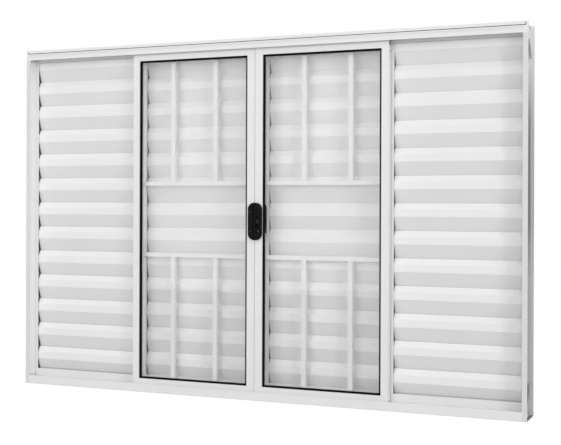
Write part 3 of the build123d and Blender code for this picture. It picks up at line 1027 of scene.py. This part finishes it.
@dataclass
class LeafFittings:
    """Corner screws, guide blocks and brush seals of the moving leaves."""

    palette: Palette
    screw_rise: float = 14.0 * MM
    screw_drop: float = 45.0 * MM
    block: Triple = (5.0 * MM, 10.0 * MM, 28.0 * MM)
    block_proud: float = -0.3 * MM
    block_drop: float = 1.0 * MM
    dish: float = 1.6 * MM
    boss_inset: float = 1.2 * MM
    boss_rise: float = 1.1 * MM
    brush_inset: float = 12.0 * MM
    brush_width: float = 6.0 * MM
    brush_back: float = 0.7 * MM
    brush_play: float = 0.2 * MM
    brush_stop: float = 20.0 * MM
    pile_width: float = 1.8 * MM
    pile_steps: int = 260
    ragged: float = 0.25 * MM
    sway: float = 0.35 * MM

    def build(self) -> None:
        """Makes every fitting of the leaves."""
        self.corner_screws()
        self.guide_blocks()
        self.brushes()

    def corner_screws(self) -> None:
        """Drives the screws that join each leaf's rails to its outer stile."""
        places = []
        for leaf in ("glass_leaf", "sliding_shutter"):
            low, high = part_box(f"right_{leaf}_outer_stile")
            for level in (low.z + self.screw_rise, high.z - self.screw_drop):
                seat = Vector((high.x, (low.y + high.y) / 2, level))
                places += [(seat, Axis.RIGHT), (mirrored_x(seat), Axis.LEFT)]
        screws = PanScrews("leaf_corner_screws", radius=3.0 * MM, height=1.6 * MM)
        screws.build(places, self.palette.fitting["screw"], "anchor")

    def guide_blocks(self) -> None:
        """Seats the sliding guides in the notches at the top of the glass leaves."""
        mesh = bmesh.new()
        low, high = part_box("right_glass_leaf_outer_stile")
        across = high.x + self.block_proud - self.block[0] / 2
        level = high.z - self.block_drop - self.block[2] / 2
        for way in (Axis.RIGHT, Axis.LEFT):
            guide = soft_block(self.block, 0.7 * MM)
            outer = far_face(guide, way)
            press_face(guide, outer, self.dish, way.value * -self.dish)
            press_face(guide, outer, self.boss_inset, way.value * self.boss_rise)
            middle = (way.value.x * across, (low.y + high.y) / 2, level)
            add_shape(mesh, guide, Matrix.Translation(middle))
        finish_piece(mesh, "leaf_guide_blocks", self.palette.slot["latch"])

    def brush(self, base: Vector, reach: float, height: float) -> Shape:
        """Makes one brush seal: a backing and a ragged pile.

        Args:
            base: the middle of the backing's seat.
            reach: how far the pile stands along Y, with its sign.
            height: the length of the strip.

        Returns:
            The strip, in place.
        """
        strip = bmesh.new()
        way = math.copysign(1.0, reach)
        back = soft_block((self.brush_width, self.brush_back, height), 0.25 * MM, 1)
        add_shape(strip, back, Matrix.Translation((0.0, way * self.brush_back / 2, 0.0)))
        pile = bmesh.new()
        depth = abs(reach) - self.brush_back
        size = (self.pile_width, depth, height - 2.0 * MM, 1.0)
        bmesh.ops.create_cube(pile, size=1.0, matrix=Matrix.Diagonal(size))
        upright = [e for e in pile.edges if abs(e.verts[0].co.z - e.verts[1].co.z) > height / 2]
        bmesh.ops.subdivide_edges(pile, edges=upright, cuts=self.pile_steps, use_grid_fill=True)
        for vert in pile.verts:
            if way * vert.co.y > 0.0:
                phase = vert.co.z / MM
                vert.co.y -= way * self.ragged * (1.0 + math.sin(phase * 2.9))
                vert.co.x += self.sway * math.sin(phase * 1.7 + 3.0 * vert.co.x / MM)
        add_shape(strip, pile, Matrix.Translation((0.0, way * (self.brush_back + depth / 2), 0.0)))
        bmesh.ops.translate(strip, verts=strip.verts, vec=base)
        return strip

    def brushes(self) -> None:
        """Fits a brush behind each glass leaf and before each sliding shutter."""
        fixed_low, fixed_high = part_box("right_fixed_shutter_inner_stile")
        glass_low, glass_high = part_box("right_glass_leaf_outer_stile")
        slide_low, slide_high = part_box("right_sliding_shutter_outer_stile")
        behind = fixed_low.y - glass_high.y - self.brush_play
        before = fixed_high.y - slide_low.y + self.brush_play
        mesh = bmesh.new()
        for low, high, seat, reach in (
            (glass_low, glass_high, glass_high.y, behind),
            (slide_low, slide_high, slide_low.y, before),
        ):
            for side in SIDES:
                base = Vector((side * (high.x - self.brush_inset), seat, (low.z + high.z) / 2))
                strip = self.brush(base, reach, high.z - low.z - 2 * self.brush_stop)
                add_shape(mesh, strip, Matrix.Identity(4))
        finish_piece(mesh, "leaf_brush_seals", self.palette.fitting["pile"])


@dataclass
class GrilleWelds:
    """Weld beads where the grille's bars meet its rails."""

    palette: Palette
    bars: int = 2
    pitch: float = 135.0 * MM
    bead: Triple = (5.6 * MM, 0.8 * MM, 1.5 * MM)
    ripple: float = 0.12

    def build(self) -> None:
        """Makes the beads, with the ripple of a hand weld."""
        mesh = bmesh.new()
        lower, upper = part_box("grille_lower_rail"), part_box("grille_upper_rail")
        for level in (lower[0].z, upper[1].z):
            for face in (lower[0].y, lower[1].y):
                for bar in range(-self.bars, self.bars + 1):
                    bead = bmesh.new()
                    bmesh.ops.create_uvsphere(bead, u_segments=8, v_segments=14, radius=1.0)
                    bmesh.ops.rotate(bead, verts=bead.verts, matrix=Matrix.Rotation(math.pi / 2, 3, "Y"))
                    for vert in bead.verts:
                        vert.co.yz *= 1.0 + self.ripple * math.sin(vert.co.x * 17.0)
                    place = Matrix.Translation((bar * self.pitch, face, level))
                    add_shape(mesh, bead, place @ Matrix.Diagonal((*self.bead, 1.0)))
        paint = self.palette.slot["grille_paint"]
        finish_piece(mesh, "grille_weld_beads", paint, smooth=True)


@dataclass
class LatchFittings:
    """Screws and ridged thumb pad of the shell latch."""

    palette: Palette
    keeper_drop: float = 27.5 * MM
    keeper_inset: float = 7.4 * MM
    lever_rise: float = 7.2 * MM
    lever_shift: float = 2.4 * MM
    lever_sink: float = 1.0 * MM
    pad: Triple = (8.6 * MM, 1.3 * MM, 12.6 * MM)
    pad_sink: float = 0.6 * MM
    pad_level: float = 493.3 * MM
    ridge: Triple = (7.0 * MM, 0.9 * MM, 1.2 * MM)
    ridges: int = 4

    def build(self) -> None:
        """Makes every fitting of the latch."""
        self.screws()
        self.thumb_pad()

    def screws(self) -> None:
        """Drives the keeper's two screws and the lever's one."""
        low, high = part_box("latch_keeper")
        levels = ((low.z + high.z) / 2 - self.keeper_drop, (low.z + high.z) / 2 + self.keeper_drop)
        places = [(Vector((low.x + self.keeper_inset, low.y, level)), Axis.ROOM) for level in levels]
        screws = PanScrews("latch_keeper_screws", radius=2.5 * MM, height=0.9 * MM)
        screws.build(places, self.palette.fitting["dark_screw"], "latch")
        low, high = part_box("latch_lever")
        across = (low.x + high.x) / 2 + self.lever_shift
        seat = Vector((across, low.y + self.lever_sink, low.z + self.lever_rise))
        screws = PanScrews("latch_lever_screw", radius=2.2 * MM, height=1.0 * MM)
        screws.build([(seat, Axis.ROOM)], self.palette.fitting["lever_screw"], "latch")

    def thumb_pad(self) -> None:
        """Sets the ridged pad on the lever's face."""
        low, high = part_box("latch_lever")
        mesh = bmesh.new()
        middle = Vector(((low.x + high.x) / 2, low.y + self.pad_sink, self.pad_level))
        add_shape(mesh, soft_block(self.pad, 0.5 * MM), Matrix.Translation(middle))
        step = self.pad[2] / (self.ridges + 1)
        for count in range(self.ridges):
            rise = Vector((0.0, -self.pad[1] / 2, step * (count + 1) - self.pad[2] / 2))
            add_shape(mesh, soft_block(self.ridge, 0.35 * MM), Matrix.Translation(middle + rise))
        finish_piece(mesh, "latch_thumb_pad", self.palette.fitting["thumb"])


@dataclass(frozen=True)
class Lamp:
    """A square area lamp, with its side in metres and its power in watts."""

    name: str
    place: Triple
    side: float
    power: float

    def hang(self, aim: Vector) -> None:
        """Hangs the lamp so that it shows in no reflection.

        Args:
            aim: the point that it faces.
        """
        data = bpy.data.lights.new(self.name, "AREA")
        data.shape = "SQUARE"
        data.size = self.side
        data.energy = self.power
        lamp = bpy.data.objects.new(self.name, data)
        bpy.context.scene.collection.objects.link(lamp)
        lamp.visible_glossy = False
        lamp.location = self.place
        lamp.rotation_mode = "QUATERNION"
        lamp.rotation_quaternion = (aim - Vector(self.place)).to_track_quat("-Z", "Y")


@dataclass
class Studio:
    """Pale surroundings, soft light and the camera of the view from the room."""

    focal_px: float = 1099.53
    image_width: int = 561
    image_height: int = 445
    principal_y: float = 205.9
    yaw: float = 0.39803
    roll: float = 0.0035469
    camera_from_left: float = 1993.3 * MM
    camera_from_face: float = 2761.3 * MM
    camera_height: float = 536.5 * MM
    sensor: float = 36.0
    clip: tuple[float, float] = (0.05, 60.0)
    ambient_high: float = 0.75
    ambient_low: float = 0.5
    ambient_turn: Triple = (0.7, 0.4, 0.5)
    rear_share: float = 0.35
    right_share: float = 0.55
    floor_tone: float = 0.55
    floor_glow: float = 1.12
    floor_half: float = 9.0
    backdrop_share: float = 0.85
    lamps: tuple[Lamp, ...] = (
        Lamp("front_panel", (-0.7, -3.0, 1.3), 2.6, 33.0),
        Lamp("right_panel", (3.7, -2.1, 1.3), 0.8, 28.0),
        Lamp("rear_panel", (-0.6, 3.4, 1.9), 3.0, 76.0),
    )

    def camera(self, low: Vector) -> None:
        """Makes the camera that matches the photograph's view.

        Args:
            low: the lowest corner of the window's box.
        """
        data = bpy.data.cameras.new("room_view")
        data.sensor_width = self.sensor
        data.lens = self.focal_px * self.sensor / self.image_width
        data.shift_y = (self.principal_y - self.image_height / 2) / self.image_width
        data.clip_start, data.clip_end = self.clip
        camera = bpy.data.objects.new("room_view", data)
        bpy.context.scene.collection.objects.link(camera)
        place = Vector((
            low.x + self.camera_from_left, low.y - self.camera_from_face, low.z + self.camera_height
        ))
        camera.matrix_world = (
            Matrix.Translation(place)
            @ Matrix.Rotation(self.yaw, 4, "Z")
            @ Matrix.Rotation(math.pi / 2, 4, "X")
            @ Matrix.Rotation(self.roll, 4, "Z")
        )
        bpy.context.scene.camera = camera

    @staticmethod
    def _seen(board: NodeBoard) -> Socket:
        """Value that is 1 for camera, glossy and transmission rays that no surface has scattered.

        Args:
            board: the board of the world or of the floor's material.

        Returns:
            The value's socket.
        """
        path = board.add("ShaderNodeLightPath").outputs
        some = board.math("MAXIMUM", path["Is Camera Ray"], path["Is Glossy Ray"])
        seen = board.math("MAXIMUM", some, path["Is Transmission Ray"])
        return board.product(seen, board.math("LESS_THAN", path["Diffuse Depth"], 0.5))

    def world(self) -> None:
        """Sets a white world that lights the window softly, more from above, the room and the right."""
        world = bpy.data.worlds.new("pale_room")
        world.use_nodes = True
        bpy.context.scene.world = world
        board = NodeBoard(world.node_tree)
        x, y, z = board.split(board.geometry("Position"))
        side, back, up = self.ambient_turn
        level = board.spread(z, self.ambient_low, self.ambient_high, -up, up)
        share = board.spread(y, 1.0, self.rear_share, -back, back)
        slant = board.spread(x, 1.0 - self.right_share, 1.0 + self.right_share, -side, side)
        strength = board.product(level, share, slant)
        light = board.add("ShaderNodeBackground", {"Color": WHITE, "Strength": strength})
        shown = board.add("ShaderNodeBackground", {"Color": WHITE, "Strength": 1.0})
        board.add("ShaderNodeOutputWorld", {"Surface": board.between(self._seen(board), light, shown)})

    def floor(self, level: float) -> None:
        """Lays a plain pale floor that keeps a faint shadow.

        Args:
            level: the floor's height.
        """
        mesh = bmesh.new()
        place = Matrix.Translation((0.0, 0.0, level))
        bmesh.ops.create_grid(mesh, x_segments=1, y_segments=1, size=self.floor_half, matrix=place)
        data = bpy.data.meshes.new("floor")
        mesh.to_mesh(data)
        mesh.free()
        material, board = new_material("pale_floor")
        plain = board.add("ShaderNodeBsdfDiffuse", {"Color": (self.floor_tone,) * 3})
        glow = board.add("ShaderNodeEmission", {"Strength": self.floor_glow})
        seen = board.product(self._seen(board), self.backdrop_share)
        board.add("ShaderNodeOutputMaterial", {"Surface": board.between(seen, plain, glow)})
        data.materials.append(material)
        plane = bpy.data.objects.new("floor", data)
        bpy.context.scene.collection.objects.link(plane)
        plane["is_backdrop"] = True

    def build(self, low: Vector, high: Vector) -> None:
        """Sets up the whole studio.

        Args:
            low: the lowest corner of the window's box.
            high: its highest corner.
        """
        self.camera(low)
        self.world()
        self.floor(low.z)
        for lamp in self.lamps:
            lamp.hang((low + high) / 2)
        bpy.context.scene.view_settings.view_transform = "Standard"


def main() -> None:
    """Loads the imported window, dresses it and sets the studio."""
    logging.basicConfig(level=logging.INFO, format="%(name)s: %(message)s")
    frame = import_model()
    low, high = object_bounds()
    palette = Palette()
    palette.dress_frame(frame)
    FrameFittings(palette).build()
    LeafFittings(palette).build()
    GrilleWelds(palette).build()
    LatchFittings(palette).build()
    Studio().build(low, high)


if __name__ == "__main__":
    main()
